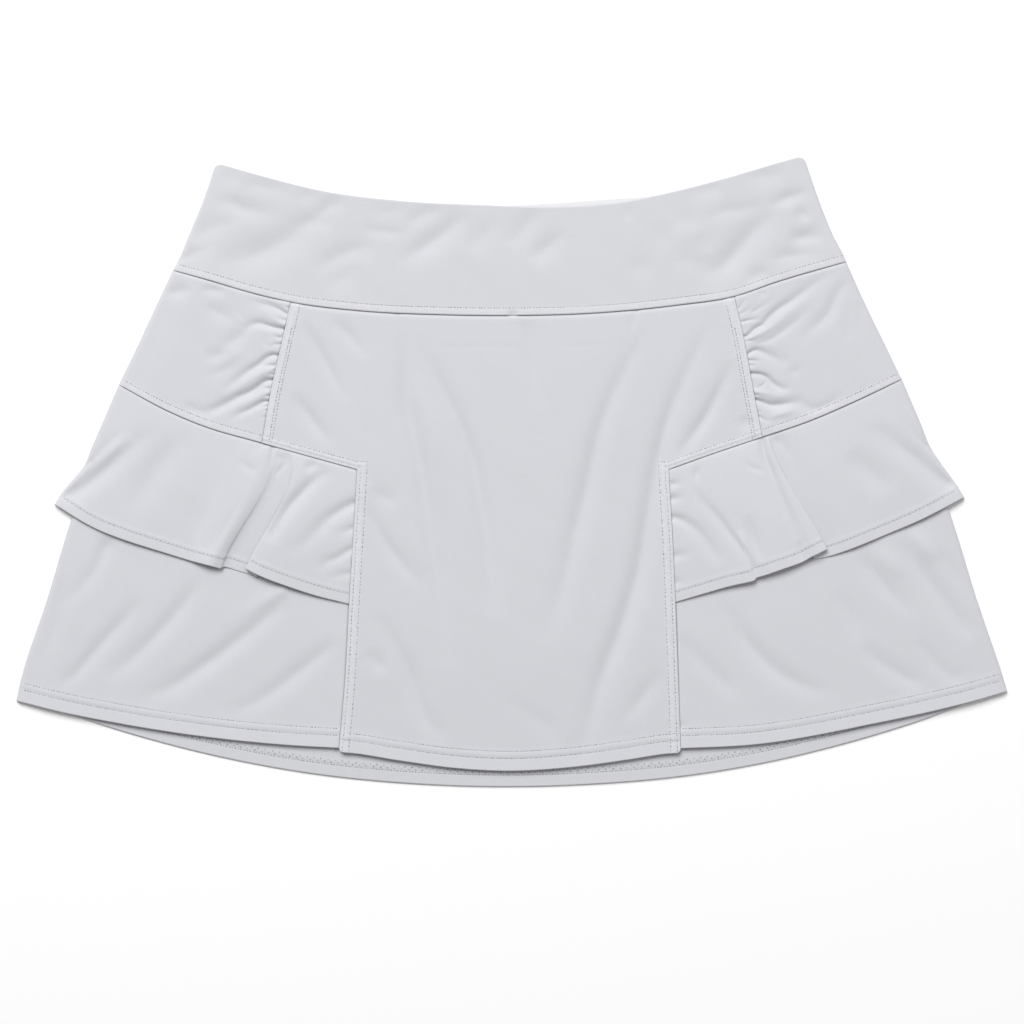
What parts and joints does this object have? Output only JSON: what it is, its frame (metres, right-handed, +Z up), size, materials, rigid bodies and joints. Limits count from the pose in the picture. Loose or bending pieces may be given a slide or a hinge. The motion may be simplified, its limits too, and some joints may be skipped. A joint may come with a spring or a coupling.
{
  "type": "tennis skirt laid flat",
  "caption": "Women's tennis skirt laid flat, front up: wide contoured waistband, centre panel with stepped sides, gathered hip yokes and a flounce over a lower panel at each side.",
  "frame": {"origin": "on the floor under the middle of the skirt's outline", "axes": "+Z up from the floor, +X across the skirt from the viewer's left to right as the front is looked down on, +Y towards the waist"},
  "size_m": [0.622, 0.3946, 0.0115],
  "materials": {
    "knit": "smooth fine jersey, light cool grey, with a faint sheen",
    "knit_inside": "inside of the same jersey, matt"
  },
  "bodies": {
    "root": {"waistband_front": "knit", "waistband_back": "knit_inside", "back_panel": "knit_inside", "centre_panel": "knit", "yoke_left": "knit", "yoke_right": "knit", "lower_panel_left": "knit", "lower_panel_right": "knit", "flounce_left": "knit", "flounce_right": "knit"}
  },
  "joints": []
}
